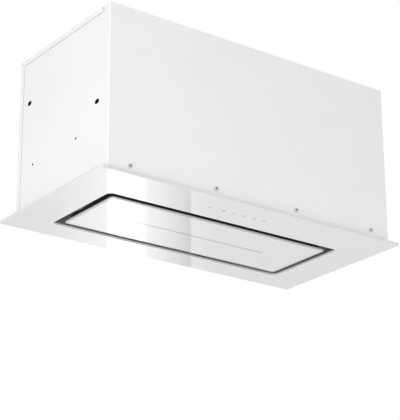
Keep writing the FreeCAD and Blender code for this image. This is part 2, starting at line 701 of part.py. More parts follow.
def make_filter_mesh():
    """Expanded metal: rows of diamond holes, every other row shifted by half a pitch."""
    body = new_body("filter_mesh")
    plan = sketch(body, "plan", "XY", "mesh_level")
    mesh_shape(plan, "mesh_gap")
    pad(body, plan, "sheet", "mesh_thick", both=True)
    across = "filter_half - rail_wide - mesh_hole / 2"
    deep = "filter_far - filter_near - 2 * rail_wide - mesh_bar"
    columns = 2 * int(number(f"({across}) / mesh_pitch")) + 1
    row_pairs = int(number(f"({deep}) / mesh_row") + 1) // 2
    holes = sketch(body, "hole_outlines", "XY", "mesh_level")
    left = f"-{columns // 2} * mesh_pitch"
    first = "filter_near + rail_wide + mesh_bar / 2 + 1"
    diamond(holes, left, first)
    diamond(holes, f"{left} + mesh_pitch / 2", f"{first} + mesh_row")
    pair = pocket(body, holes, "hole_pair", "4 * mesh_thick", both=True)
    grid = body.newObject("PartDesign::MultiTransform", "hole_grid")
    grid.Originals = [pair]
    steps = []
    for name, axis, pitch, count in (("columns", "X", "mesh_pitch", columns),
                                     ("rows", "Y", "2 * mesh_row", row_pairs)):
        step = body.newObject("PartDesign::LinearPattern", name)
        step.Direction = (origin_feature(body, axis + "_Axis"), [""])
        step.setExpression("Length", formula(f"({pitch}) * {count - 1}"))
        step.Occurrences = count
        steps.append(step)
    grid.Transformations = steps
    body.Tip = grid


def diamond(drawing, x, y):
    outline(drawing, [
        (f"{x} - mesh_hole / 2", y), (x, f"{y} - mesh_bar / 2"),
        (f"{x} + mesh_hole / 2", y), (x, f"{y} + mesh_bar / 2")])


def make_filter_shelf():
    """Two hooks that hang from the rear ledge and carry the filter's rear edge."""
    body = new_body("filter_shelf")
    side = sketch(body, "hook_outline", "YZ", "shelf_at")
    foot = "filter_low - rest_gap"
    outline(side, [
        ("filter_far - shelf_reach", f"{foot} - shelf_metal"),
        ("filter_far + rest_gap + shelf_metal", f"{foot} - shelf_metal"),
        ("filter_far + rest_gap + shelf_metal", "ledge_low - shelf_metal"),
        ("filter_far + 3 * shelf_reach", "ledge_low - shelf_metal"),
        ("filter_far + 3 * shelf_reach", "ledge_low"),
        ("filter_far + rest_gap", "ledge_low"), ("filter_far + rest_gap", foot),
        ("filter_far - shelf_reach", foot)])
    hook = pad(body, side, "hook", "shelf_wide", both=True)
    mirrored(body, "second_hook", [hook], "YZ")


def make_latch():
    """Moulded frame in the latch pad, and the slider whose tongue enters the collar."""
    body = new_body("latch_bezel")
    plan = sketch(body, "plan", "XY", "filter_low")
    rectangle(plan, "-latch_box / 2 + fit_gap", "latch_box / 2 - fit_gap",
              "room_near + fit_gap", "room_far - fit_gap")
    pad(body, plan, "block", "filter_thick - latch_floor")
    room = sketch(body, "room_outline", "XY", "filter_low")
    rectangle(room, "-slider_long / 2 - slide_play", "slider_long / 2 + slide_play",
              "room_near + bezel_wall", "room_far - bezel_wall")
    pocket(body, room, "slider_room", "filter_thick", back=True)
    slot = sketch(body, "tongue_slot_outline", "XZ", "-room_near")
    tongue_shape(slot, "slide_play")
    pocket(body, slot, "tongue_slot", "3 * bezel_wall", both=True)

    body = new_body("latch_slider")
    plan = sketch(body, "plan", "XY", "filter_low + bezel_wall")
    rectangle(plan, "-slider_long / 2", "slider_long / 2", "slider_near",
              "slider_near + slider_deep")
    pad(body, plan, "block", "slider_thick")
    grip = sketch(body, "grip_outline", "XY", "filter_low + bezel_wall")
    rectangle(grip, "-slider_long / 2 + grip_side", "slider_long / 2 - grip_side",
              "slider_near + grip_near", "slider_near + slider_deep - grip_near / 2")
    pocket(body, grip, "finger_grip", "grip_deep", back=True)
    tongue = sketch(body, "tongue_outline", "XZ", "-slider_near - 1")
    tongue_shape(tongue, "0")
    pad(body, tongue, "tongue", "slider_near + 1 - collar_front + tongue_reach")


# ---- blower ------------------------------------------------------------------------------


def blower_body(name):
    """A body whose X axis is the blower's shaft."""
    return new_body(name, "0", "shaft_line", "shaft_level")


def scroll_outline(drawing, spare, rise):
    """A volute of four arcs. Their centres are the corners of a small square about the shaft."""
    half = "(scroll_step / 2)"
    left = f"(throat_left - {spare})"
    small = f"(scroll_small + {spare})"
    level = f"{half} + sqrt({small} * {small} - ({left} + {half}) * ({left} + {half}))"
    second, third, last = (f"(scroll_small + {k} * scroll_step + {spare})" for k in (1, 2, 3))
    outline(drawing, [
        (left, rise), (left, level, small),
        (f"-{half}", f"{half} + {small}", second),
        (f"-{half} - {second}", f"-{half}", third),
        (half, f"-{half} - {third}", last),
        (f"{half} + {last}", half), (f"{half} + {last}", rise)])


def make_scroll_half(name, back):
    """Half of the scroll: side wall with its inlet, spiral wall, and half the rim on top."""
    body = blower_body(name)
    outer = sketch(body, "outer_outline", "YZ")
    scroll_outline(outer, "scroll_wall", "shaft_drop")
    pad(body, outer, "block", "scroll_half", back=back)
    rim = sketch(body, "rim_outline", "XY", "shaft_drop")
    ends = ("-scroll_half - outlet_rim", "0") if back else ("0", "scroll_half + outlet_rim")
    rectangle(rim, *ends, "throat_left - scroll_wall - outlet_rim",
              "scroll_half_step + scroll_big + scroll_wall + outlet_rim")
    pad(body, rim, "rim", "rim_thick", back=True)
    slots = sketch(body, "hook_slot_outlines", "XY", "shaft_drop")
    hook_slots(slots, "duct_line - shaft_line", ("-",) if back else ("",))
    pocket(body, slots, "hook_slots", "2 * rim_thick", both=True)
    inner = sketch(body, "inner_outline", "YZ")
    scroll_outline(inner, "0", "shaft_drop + 1")
    pocket(body, inner, "air_room", "scroll_half - scroll_wall", back=not back)
    inlet = sketch(body, "inlet_outline", "YZ")
    circle(inlet, "0", "0", "inlet")
    pocket(body, inlet, "inlet_hole", "scroll_half + 1", back=not back)


def make_impeller():
    """Double-inlet wheel: a hub disc, end rings, and blades that curve towards the turn."""
    body = blower_body("impeller")
    hub = sketch(body, "hub_outline", "YZ", "-hub_half")
    circle(hub, "0", "0", "hub_round")
    pad(body, hub, "hub", "hub_half + disc_thick / 2")
    flats = []
    for name, start, thick, inner in (
            ("left_ring", "-wheel_half", "ring_thick", "ring_inner"),
            ("right_ring", "wheel_half - ring_thick", "ring_thick", "ring_inner"),
            ("disc", "-disc_thick / 2", "disc_thick", "(hub_round - disc_thick)")):
        share = sketch(body, name + "_outline", "YZ", start)
        sector(share, inner, "wheel_tip")
        flats.append(pad(body, share, name, thick))
    polar(body, "all_flats", flats, "X", "2 * blades")
    section = sketch(body, "blade_outline", "YZ")
    blade_section(section)
    blade = pad(body, section, "blade", "2 * (wheel_half - ring_thick)", both=True)
    polar(body, "all_blades", [blade], "X", "blades")
    bore = sketch(body, "bore_outline", "YZ")
    circle(bore, "0", "0", "axle / 2 + axle_play / 5")
    pocket(body, bore, "bore", "4 * hub_half", both=True)


def sector(drawing, inner, outer):
    """One flat of a many-sided ring, half a blade's pitch wide."""
    half = "(90 / blades)"
    outline(drawing, [(f"{radius} * cos{half}", f"{mark}{radius} * sin{half}")
                      for radius, mark in ((inner, "-"), (outer, "-"), (outer, ""), (inner, ""))])


def blade_section(drawing):
    """A folded blade: two flats on each side, along arcs about one centre ahead of its root."""
    across = "wheel_inner + blade_curve * sin(blade_start)"
    up = "blade_curve * cos(blade_start)"

    def spot(radius, share):
        angle = f"(blade_turn * {share} - blade_start - 90)"
        return (f"{across} + ({radius}) * cos{angle}", f"{up} + ({radius}) * sin{angle}")
    shares = (0, 1 / 2, 1)
    outer = [spot("blade_curve + blade_thick", share) for share in shares]
    inner = [spot("blade_curve", share) for share in reversed(shares)]
    outline(drawing, outer + inner)


def make_motor():
    """Motor inside the wheel's right half, on a three-armed bracket over the inlet."""
    body = blower_body("motor")
    can = sketch(body, "can_outline", "XZ")
    bore = "axle / 2 + axle_play"
    outline(can, [
        ("motor_near", bore), ("scroll_half", bore), ("scroll_half", "motor_round"),
        ("motor_near", "motor_round")])
    revolve(body, can, "can", "H_Axis")

    body = blower_body("motor_shaft")
    rod = sketch(body, "rod_outline", "YZ", "-hub_half - pin_tail")
    circle(rod, "0", "0", "axle / 2")
    pad(body, rod, "rod", "hub_half + pin_tail + scroll_half")

    body = blower_body("motor_bracket")
    core = sketch(body, "core_outline", "YZ", "scroll_half")
    hexagon(core, "0", "0", "bracket_core")
    pad(body, core, "core", "bracket_thick")
    arm = sketch(body, "arm_outline", "YZ", "scroll_half")
    rectangle(arm, "bracket_core / 2", "arm_reach", "-arm_wide / 2", "arm_wide / 2")
    arm_pad = pad(body, arm, "arm", "bracket_thick")
    polar(body, "three_arms", [arm_pad], "X", "arms")


# ---- outlet and damper -------------------------------------------------------------------


def hook_slots(drawing, middle, sides):
    """Slots for the collar's snap hooks, with the duct's axis at y = middle."""
    for side in sides:
        for mark in ("-", ""):
            rectangle(drawing, f"{side}(hook_line - hook_play)",
                      f"{side}(hook_line + hook_thick + hook_play)",
                      f"{middle} + {mark}hook_at - hook_wide / 2 - hook_play",
                      f"{middle} + {mark}hook_at + hook_wide / 2 + hook_play")


def hook_shape(drawing, side):
    """A snap hook's section: through the top sheet and the scroll's rim, its barb below them."""
    inner, outer = f"{side}hook_line", f"{side}(hook_line + hook_thick)"
    under = "-metal - rim_thick"
    outline(drawing, [
        (inner, "flange_thick / 2"), (outer, "flange_thick / 2"), (outer, under),
        (f"{side}(hook_line + hook_thick + hook_barb)", under), (outer, f"{under} - hook_tip"),
        (inner, f"{under} - hook_tip")])


def make_outlet_collar():
    """Round collar on a square flange, with snap hooks, stops for the flaps, and their bar."""
    body = new_body("outlet_collar", "0", "duct_line", "shell_top")
    flange = sketch(body, "flange_outline", "XY")
    half, bore = "(duct / 2 + flange_wide)", "duct / 2 - duct_wall"
    rectangle(flange, f"-{half}", half, f"-{half}", half)
    circle(flange, "0", "0", bore)
    pad(body, flange, "flange", "flange_thick")
    tube = sketch(body, "tube_outline", "XY")
    circle(tube, "0", "0", "duct / 2")
    circle(tube, "0", "0", bore)
    pad(body, tube, "tube", "duct_rise")
    stops = sketch(body, "stop_outlines", "XY", "damper_rise - flap_drop - rest_gap")
    for side in ("-", ""):
        rectangle(stops, f"{side}({bore} - stop_reach)", f"{side}(duct / 2 - duct_wall / 2)",
                  "-stop_wide / 2", "stop_wide / 2")
    pad(body, stops, "stops", "stop_thick", back=True)
    for k, mark in enumerate(("-", "")):
        hooks = sketch(body, f"hook_outlines_{k}", "XZ", f"{mark}hook_at")
        for side in ("-", ""):
            hook_shape(hooks, side)
        pad(body, hooks, f"hooks_{k}", "hook_wide", both=True)
    seat = sketch(body, "bar_seat_outline", "XZ", "duct / 2 - duct_wall - seat_reach")
    seat_shape(seat)
    block = pad(body, seat, "bar_seat", "seat_reach + duct_wall / 2")
    mirrored(body, "second_bar_seat", [block], "XZ")

    body = new_body("damper_pin", "0", "duct_line", "shell_top")
    end = sketch(body, "bar_outline", "XZ")
    circle(end, "0", "damper_rise", "bar_thick / 2")
    pad(body, end, "bar", "duct - 2 * duct_wall - 2 * fit_gap", both=True)


def seat_shape(drawing):
    """A seat for the cross bar: a block with a notch that is open above."""
    half, notch, low = "seat_wide / 2", "(bar_thick / 2 + pin_play)", "damper_rise - bar_thick / 2"
    outline(drawing, [
        (f"-{half}", f"{low} - duct_wall"), (half, f"{low} - duct_wall"), (half, "damper_rise"),
        (notch, "damper_rise"), (notch, low), (f"-{notch}", low),
        (f"-{notch}", "damper_rise"), (f"-{half}", "damper_rise")])


def make_flap(name, side, middle_eye):
    """A half-round flap below the cross bar, with room for the other flap's eyes.

    One flap has the middle eye. The other has two outer eyes, next to the bar's seats.
    """
    body = new_body(name, "0", "duct_line", "shell_top")
    outer_end = "(duct / 2 - duct_wall - seat_reach - eye_play)"
    outer_eye = f"({outer_end} - eye_long / 2)"
    for k, place in enumerate(("0",) if middle_eye else (f"-{outer_eye}", outer_eye)):
        end = sketch(body, f"eye_{k}_outline", "XZ", place)
        hexagon(end, "0", "damper_rise", "eye_round")
        pad(body, end, f"eye_{k}", "eye_long", both=True)
    radius = "(duct / 2 - duct_wall - flap_play)"
    tall = f"sqrt({radius} * {radius} - flap_gap * flap_gap)"
    plate = sketch(body, "plate_outline", "XY", "damper_rise - flap_drop")
    outline(plate, [
        (f"{side}flap_gap", f"-{tall}", f"{side}{radius}"),
        (f"{side}{radius}", "0", f"{side}{radius}"), (f"{side}flap_gap", tall)])
    pad(body, plate, "plate", "flap_thick")
    room = sketch(body, "eye_room_outlines", "XY", "damper_rise")
    wide = "(eye_round + eye_play)"
    if not middle_eye:
        rectangle(room, f"-{wide}", wide, "-eye_long / 2 - eye_play", "eye_long / 2 + eye_play")
    start = f"({outer_end} - eye_long - eye_play)" if middle_eye else outer_end
    for mark in ("-", ""):
        rectangle(room, f"-{wide}", wide, f"{mark}(duct / 2)", f"{mark}{start}")
    pocket(body, room, "rooms", "4 * eye_round", both=True)
    hole = sketch(body, "bar_hole_outline", "XZ")
    circle(hole, "0", "damper_rise", "bar_thick / 2 + pin_play")
    pocket(body, hole, "bar_hole", "duct", both=True)


# ---- electrics ---------------------------------------------------------------------------


def make_control_box():
    """Box under the top sheet with its lid, circuit board and motor capacitor."""
    body = new_body("control_box")
    left, right = "gland_out - box_long / 2", "gland_out + box_long / 2"
    front, rear = "box_near", "box_near + box_wide"
    plan = sketch(body, "plan", "XY", "ceiling - box_deep")
    rectangle(plan, left, right, front, rear)
    pad(body, plan, "block", "box_deep")
    hollow(body, "walls", lambda f: flat(f, "z", -1), "box_wall")

    body = new_body("control_box_lid")
    plan = sketch(body, "plan", "XY", "ceiling - box_deep - lid_thick")
    rectangle(plan, left, right, front, rear)
    pad(body, plan, "lid", "lid_thick")
    step = sketch(body, "step_outline", "XY", "ceiling - box_deep")
    rectangle(step, f"{left} + box_wall + rest_gap", f"{right} - box_wall - rest_gap",
              f"{front} + box_wall + rest_gap", f"{rear} - box_wall - rest_gap")
    pad(body, step, "step", "lid_thick")

    body = new_body("control_board")
    plan = sketch(body, "plan", "XY", "ceiling - box_deep + circuit_rise")
    rectangle(plan, f"{left} + box_wall + rest_gap", f"{right} - box_wall - rest_gap",
              f"{front} + box_wall + rest_gap", f"{rear} - box_wall - rest_gap")
    pad(body, plan, "board", "circuit_thick")
    chips = sketch(body, "chip_outlines", "XY", "ceiling - box_deep + circuit_rise + circuit_thick")
    for x, y, long, wide in ((-34, 24, 24, 18), (4, 20, 16, 30), (34, 26, 20, 12), (-8, 60, 40, 8)):
        rectangle(chips, f"gland_out + {x} - {long} / 2", f"gland_out + {x} + {long} / 2",
                  f"{front} + {y} - {wide} / 2", f"{front} + {y} + {wide} / 2")
    pad(body, chips, "chips", "circuit_rise")

    body = new_body("capacitor", "gland_out", "box_near + box_wide", "ceiling")
    block = sketch(body, "block_outline", "YZ")
    outline(block, [
        ("0", "0"), ("can_wide + can_foot", "0"), ("can_wide + can_foot", "-metal"),
        ("can_wide", "-metal"), ("can_wide", "-can_deep"), ("0", "-can_deep")])
    pad(body, block, "block", "can_long", both=True)


def make_cable_gland():
    """Mains inlet in the top sheet: a snap-in clamp with an oblong passage for the lead."""
    body = new_body("cable_gland", "gland_out", "gland_line", "shell_top")
    stem = sketch(body, "stem_outline", "XY", "-gland_drop")
    rectangle(stem, "-gland_long / 2", "gland_long / 2", "-gland_wide / 2", "gland_wide / 2")
    pad(body, stem, "stem", "gland_drop + gland_rise")
    lip = sketch(body, "lip_outline", "XY")
    rectangle(lip, "-gland_long / 2 - gland_lip", "gland_long / 2 + gland_lip",
              "-gland_wide / 2 - gland_lip", "gland_wide / 2 + gland_lip")
    pad(body, lip, "lip", "gland_lip")
    bore = sketch(body, "bore_outline", "XY", "-gland_drop")
    rectangle(bore, "-gland_bore", "gland_bore", "-gland_bore / 2", "gland_bore / 2")
    pocket(body, bore, "passage", "gland_drop + gland_rise", back=True)


def make_touch_unit():
    """Touch board on the back of the glass plate, under a moulded cover."""
    left, right = "-touch_mid - touch_long / 2", "-touch_mid + touch_long / 2"
    rear = "touch_front + touch_wide"
    body = new_body("touch_board")
    plan = sketch(body, "plan", "XY", "glass_thick")
    rectangle(plan, f"{left} + box_wall + rest_gap", f"{right} - box_wall - rest_gap",
              "touch_front + box_wall + rest_gap", f"{rear} - box_wall - rest_gap")
    pad(body, plan, "board", "circuit_thick")

    body = new_body("touch_cover")
    plan = sketch(body, "plan", "XY", "glass_thick")
    rectangle(plan, left, right, "touch_front", rear)
    pad(body, plan, "block", "touch_deep")
    hollow(body, "walls", lambda f: flat(f, "z", -1), "box_wall")


# ---- write out ---------------------------------------------------------------------------


def check_and_write():
    doc.recompute()
    broken = [o.Name for o in doc.Objects if {"Invalid", "Error"} & set(o.State)]
    if broken:
        raise RuntimeError(f"failed objects: {broken}")
    for part in parts:
        if part.Shape.isNull() or not part.Shape.isValid():
            raise RuntimeError(f"no valid shape: {part.Label}")
    os.makedirs("parts", exist_ok=True)
    for part in parts:
        part.Shape.exportStep(f"parts/{part.Label}.step")


def make_everything():
    fill_sheet()
    make_glass_frame()
    make_glass_tape()
    make_front_shell()
    make_top_panel()
    make_back_panel()
    make_base_frame()
    make_panel_glass()
    make_panel_tray()
    make_lamp()
    make_hinges()
    make_catches()
    make_filter_frame()
    make_filter_mesh()
    make_filter_shelf()
    make_latch()
    make_scroll_half("blower_half_left", True)
    make_scroll_half("blower_half_right", False)
    make_impeller()
    make_motor()
    make_outlet_collar()
    make_flap("damper_flap_left", "-", middle_eye=True)
    make_flap("damper_flap_right", "", middle_eye=False)
    make_control_box()
    make_cable_gland()
    make_touch_unit()


make_everything()
check_and_write()
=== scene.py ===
"""Looks of the built-in ceiling hood: finishes, printed marks, fasteners, filter and studio."""
import json
import math

import bmesh
import bpy
from mathutils import Matrix, Vector


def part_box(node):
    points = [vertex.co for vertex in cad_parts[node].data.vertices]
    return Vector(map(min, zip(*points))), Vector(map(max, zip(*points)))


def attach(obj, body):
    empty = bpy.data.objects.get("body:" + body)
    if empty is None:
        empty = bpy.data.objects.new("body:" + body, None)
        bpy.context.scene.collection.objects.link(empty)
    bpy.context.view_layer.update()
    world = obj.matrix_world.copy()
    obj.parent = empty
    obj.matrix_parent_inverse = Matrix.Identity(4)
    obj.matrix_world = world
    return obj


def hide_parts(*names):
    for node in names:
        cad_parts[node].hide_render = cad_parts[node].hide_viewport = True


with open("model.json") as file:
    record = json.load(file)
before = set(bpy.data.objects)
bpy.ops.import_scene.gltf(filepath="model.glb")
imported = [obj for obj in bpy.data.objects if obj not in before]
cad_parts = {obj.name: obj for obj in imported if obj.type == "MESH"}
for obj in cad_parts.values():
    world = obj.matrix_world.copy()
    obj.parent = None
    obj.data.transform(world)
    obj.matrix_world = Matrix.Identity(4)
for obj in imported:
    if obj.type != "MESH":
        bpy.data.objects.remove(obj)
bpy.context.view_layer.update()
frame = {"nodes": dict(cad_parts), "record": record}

MM = 0.001

# Camera: where it stands, how it is turned in degrees, and its lens on a 36 mm sensor.
EYE = (-1.71279, -2.31582, -1.03876)
HEADING, RISE, ROLL = 36.3557, 20.7192, -0.244
LENS = 136.36
VIEW_REACH = 100.0

# Light: levels at which a colour renders about as it is written. A lamp has its name, its
# place, the side of its square, its power in watts and the point that it is aimed at.
SKY_LEVEL = 0.60
HOOD_MIDDLE, GLASS_MIDDLE = (0, 0, 0.15), (0, 0, 0)
LAMPS = (
    ("key", (-2.5, -1.5, -0.8), 1.8, 52.0, HOOD_MIDDLE),
    ("from_front", (1.6, -3.2, -0.8), 2.0, 15.0, HOOD_MIDDLE),
    ("from_below", (-0.3, -0.6, -2.6), 3.0, 9.0, GLASS_MIDDLE),
    ("from_behind", (2.4, 2.2, 2.4), 2.5, 60.0, HOOD_MIDDLE),
)
FLOOR_LEVEL, FLOOR_SIZE, FLOOR_LIFT = -4.0, 30.0, 0.44

# Studio reflector: a far upright card whose glow is seen only in gloss. A stop is a slope
# to the side of the camera's heading, and the glow that the card has there.
CARD_AWAY, CARD_LOW, CARD_HIGH = 6.0, -3.9, -0.9
CARD_STOPS = (
    (-0.135, 0.85), (-0.100, 1.0), (-0.0622, 1.9), (-0.0616, 3.2), (-0.0405, 3.0),
    (-0.0345, 1.9), (-0.0247, 1.45), (-0.0147, 0.95), (-0.0066, 0.4), (-0.0062, 1.3),
    (0.010, 1.0), (0.130, 1.0))

# Glass: its upright faces are ground. The inner panel's has a clear window, given by half its
# length, its middle and half its width; a grey border and a near-black band that starts above the
# face are painted shade of the slot.
FACE_TILT, GROUND_ROUGH, GLASS_IOR = 0.9, 0.25, 1.5
PLATE_EDGE, PANEL_EDGE_SHADED, BACK_COAT = 0.73, 0.50, 0.45
WINDOW_ALONG, WINDOW_MIDDLE, WINDOW_ACROSS = 0.159, 0.0185, 0.0030
WINDOW_GREY, RIM_SHADE_GREY, SEAL_SHADE_GREY = 0.56, 0.56, 0.02
RIM_SHADE_WIDE, SEAL_SHADE_RISE = 5.0 * MM, 2.8 * MM

# Side walls: the large holes and the near-black rings of painted shade round them, the field that
# holds all holes, how deep the painted skin and the cut edges reach, and how far a cut edge or a
# tray wall may lean.
BIG_HOLES, HOLE_SHADE_ACROSS, HOLE_SHADE_UPWARD = ((0.113, 0.231), (-0.1275, 0.146)), 7.4 * MM, 4.8 * MM
HOLE_SHADE_GREY = 0.02
HOLE_FIELD_Y, HOLE_FIELD_Z = (-0.14, 0.13), (0.05, 0.30)
SIDE_SKIN, WALL_SKIN, SEAM_REACH = 0.2 * MM, 1.5 * MM, 1.8 * MM
EDGE_LEAN, WALL_LEAN = 0.3, 0.5

# Gussets behind the notches at the top front corners.
GUSSET_SHEET, GUSSET_GAP, GUSSET_BEND = 0.8 * MM, 1.3 * MM, 3.0 * MM
GUSSET_FRONT, GUSSET_BACK, GUSSET_DROP, GUSSET_REACH = 2.0 * MM, 30 * MM, 28 * MM, 27 * MM

# Touch symbols on the glass.
ICON_ROW, ICON_PLACES = -0.1263, (-0.0790, -0.0466, -0.0229, 0.0005, 0.0251, 0.0481)
ICON_SIZE, ICON_LINE, PRINT_THICK = 2.7 * MM, 0.95 * MM, 0.03 * MM

# Pan-head screws: the profile is a share of the radius and of the height.
SCREW_PLACES, SCREW_RISE = (-0.282, -0.094, 0.094, 0.282), 0.0205
FIRST_TURN, NEXT_TURN = 25, 31
HEAD_RADIUS, HEAD_HIGH, HEAD_SIDES = 4.3 * MM, 2.8 * MM, 48
HEAD_PROFILE = ((0.62, 1.0), (0.80, 0.93), (0.92, 0.76), (0.985, 0.5), (1.0, 0.22), (0.99, 0.0))
CROSS_LONG, CROSS_WIDE, CROSS_DEEP, CROSS_TAPER = 2.4 * MM, 0.8 * MM, 1.5 * MM, 0.7

# Grease filter: a layer is a share of the depth, and how far its strands are shifted.
STRAND_PITCH, STRAND_ROW, STRAND_THICK = 11 * MM, 5.6 * MM, 0.7 * MM
FILTER_LAYERS = ((0.15, 0), (0.5, 3.1 * MM), (0.85, 1.3 * MM))
LAYER_MARGIN, PAD_BESIDE, PAD_BEHIND = 4 * MM, 14 * MM, 8 * MM


# ---- material building -------------------------------------------------------------------

# Sockets of a Mix node when it mixes colours.
MIX_FACTOR, MIX_FIRST, MIX_SECOND, MIX_RESULT = 0, 6, 7, 2


def new_material(name):
    """A node material, its tree and its shader."""
    material = bpy.data.materials.new(name)
    material.use_nodes = True
    tree = material.node_tree
    return material, tree, tree.nodes["Principled BSDF"]


def node(tree, kind, inputs=None, **settings):
    """A node with its settings, whose inputs are linked to sockets or set to values."""
    made = tree.nodes.new(kind)
    for name, value in settings.items():
        setattr(made, name, value)
    for key, value in (inputs or {}).items():
        if isinstance(value, bpy.types.NodeSocket):
            tree.links.new(value, made.inputs[key])
        else:
            made.inputs[key].default_value = value
    return made


def on_piece(tree, stretch=(1, 1, 1)):
    """Coordinates of the piece itself, in metres, stretched along its axes."""
    place = node(tree, "ShaderNodeTexCoord").outputs["Object"]
    return node(tree, "ShaderNodeMapping", {"Vector": place, "Scale": stretch}).outputs["Vector"]


def spot_on_piece(tree):
    """X, Y and Z of the piece itself, in metres."""
    place = node(tree, "ShaderNodeTexCoord").outputs["Object"]
    return node(tree, "ShaderNodeSeparateXYZ", {"Vector": place}).outputs


def noise(tree, place, grain, detail=2.0, roughness=0.5):
    """Noise with features of about grain metres."""
    made = node(tree, "ShaderNodeTexNoise", {
        "Vector": place, "Scale": 1 / grain, "Detail": detail, "Roughness": roughness})
    return made.outputs["Fac"]


def spread(tree, value, low, high):
    """Maps noise from its middle range onto low to high."""
    made = node(tree, "ShaderNodeMapRange", {
        "Value": value, "From Min": 0.3, "From Max": 0.7, "To Min": low, "To Max": high})
    return made.outputs["Result"]


def mix_colour(tree, factor, first, second):
    """The first colour at factor 0, and the second at 1."""
    made = node(tree, "ShaderNodeMix", {
        MIX_FACTOR: factor, MIX_FIRST: first, MIX_SECOND: second}, data_type="RGBA")
    return made.outputs[MIX_RESULT]


def math_node(tree, operation, first, second=0.0):
    """The result of one operation on sockets or values."""
    return node(tree, "ShaderNodeMath", {0: first, 1: second}, operation=operation).outputs[0]


def away_from(tree, value, middle):
    """How far a value lies from a middle."""
    return math_node(tree, "ABSOLUTE", math_node(tree, "SUBTRACT", value, middle))


def bump(tree, shader, height, depth, strength=1.0):
    """Depth is the height of the relief in metres."""
    made = node(tree, "ShaderNodeBump", {
        "Strength": strength, "Distance": depth, "Height": height})
    tree.links.new(made.outputs["Normal"], shader.inputs["Normal"])


def grey(level, tint=(0, 0, 0)):
    """An even grey, or one that leans a little to a tint."""
    return tuple(level + t for t in tint) + (1,)


# ---- finishes ----------------------------------------------------------------------------


def rough_plastic(name, colour, roughness, grain=0.6 * MM, depth=0.02 * MM, metallic=0.0):
    """A moulded or cast surface: fine grain, and a little cloudiness of colour and gloss."""
    material, tree, shader = new_material(name)
    place = on_piece(tree)
    cloud = noise(tree, place, 40 * MM, 3)
    lighter = tuple(min(c * 1.06 + 0.004, 1) for c in colour)
    darker = tuple(c * 0.94 for c in colour)
    tint = mix_colour(tree, spread(tree, cloud, 0, 1), darker + (1,), lighter + (1,))
    tree.links.new(tint, shader.inputs["Base Color"])
    fine = noise(tree, place, grain, 3)
    tree.links.new(spread(tree, fine, roughness - 0.04, roughness + 0.04),
                   shader.inputs["Roughness"])
    shader.inputs["Metallic"].default_value = metallic
    bump(tree, shader, fine, depth)
    return material


def drawn_metal(name, colour, roughness, run=(0.02, 1, 1), grain=0.4 * MM):
    """Rolled or brushed sheet: streaks along one axis and slow patches of sheen."""
    material, tree, shader = new_material(name)
    streaks = noise(tree, on_piece(tree, run), grain, 4, 0.6)
    patches = noise(tree, on_piece(tree), 25 * MM, 2)
    blend = math_node(tree, "MULTIPLY", streaks, patches)
    darker = tuple(c * 0.82 for c in colour)
    tint = mix_colour(tree, spread(tree, blend, 1, 0), colour + (1,), darker + (1,))
    tree.links.new(tint, shader.inputs["Base Color"])
    tree.links.new(spread(tree, streaks, roughness - 0.08, roughness + 0.08),
                   shader.inputs["Roughness"])
    shader.inputs["Metallic"].default_value = 1.0
    bump(tree, shader, streaks, 0.01 * MM, 0.6)
    return material


def white_paint():
    """Powder coat: orange peel over a fine grain."""
    material, tree, shader = new_material("white_paint")
    place = on_piece(tree)
    cloud = noise(tree, place, 120 * MM, 3)
    tint = mix_colour(tree, spread(tree, cloud, 0, 1), grey(0.865), grey(0.885))
    tree.links.new(tint, shader.inputs["Base Color"])
    peel = noise(tree, place, 1.6 * MM, 2)
    grain = noise(tree, place, 0.4 * MM, 1)
    height = math_node(tree, "ADD", peel, math_node(tree, "MULTIPLY", grain, 0.3))
    tree.links.new(spread(tree, peel, 0.40, 0.48), shader.inputs["Roughness"])
    bump(tree, shader, height, 0.012 * MM)
    return material


def white_glass(name, edge_level):
    """Glass painted white behind: a glossy face, ground edges, and a grey coat on the back."""
    material, tree, shader = new_material(name)
    normal = node(tree, "ShaderNodeTexCoord").outputs["Normal"]
    facing = node(tree, "ShaderNodeSeparateXYZ", {"Vector": normal}).outputs["Z"]
    edge = math_node(tree, "LESS_THAN", math_node(tree, "ABSOLUTE", facing), FACE_TILT)
    behind = math_node(tree, "GREATER_THAN", facing, FACE_TILT)
    place = on_piece(tree)
    cloud = noise(tree, place, 150 * MM, 2)
    face = mix_colour(tree, spread(tree, cloud, 0, 1), grey(0.83), grey(0.84))
    face = mix_colour(tree, behind, face, grey(BACK_COAT))
    tint = mix_colour(tree, edge, face, grey(edge_level, (-0.005, 0.005, 0.0)))
    smear = spread(tree, noise(tree, place, 30 * MM, 3), 0.012, 0.03)
    ground = math_node(tree, "MULTIPLY", edge, GROUND_ROUGH)
    tree.links.new(tint, shader.inputs["Base Color"])
    tree.links.new(math_node(tree, "ADD", smear, ground), shader.inputs["Roughness"])
    shader.inputs["IOR"].default_value = GLASS_IOR
    return material


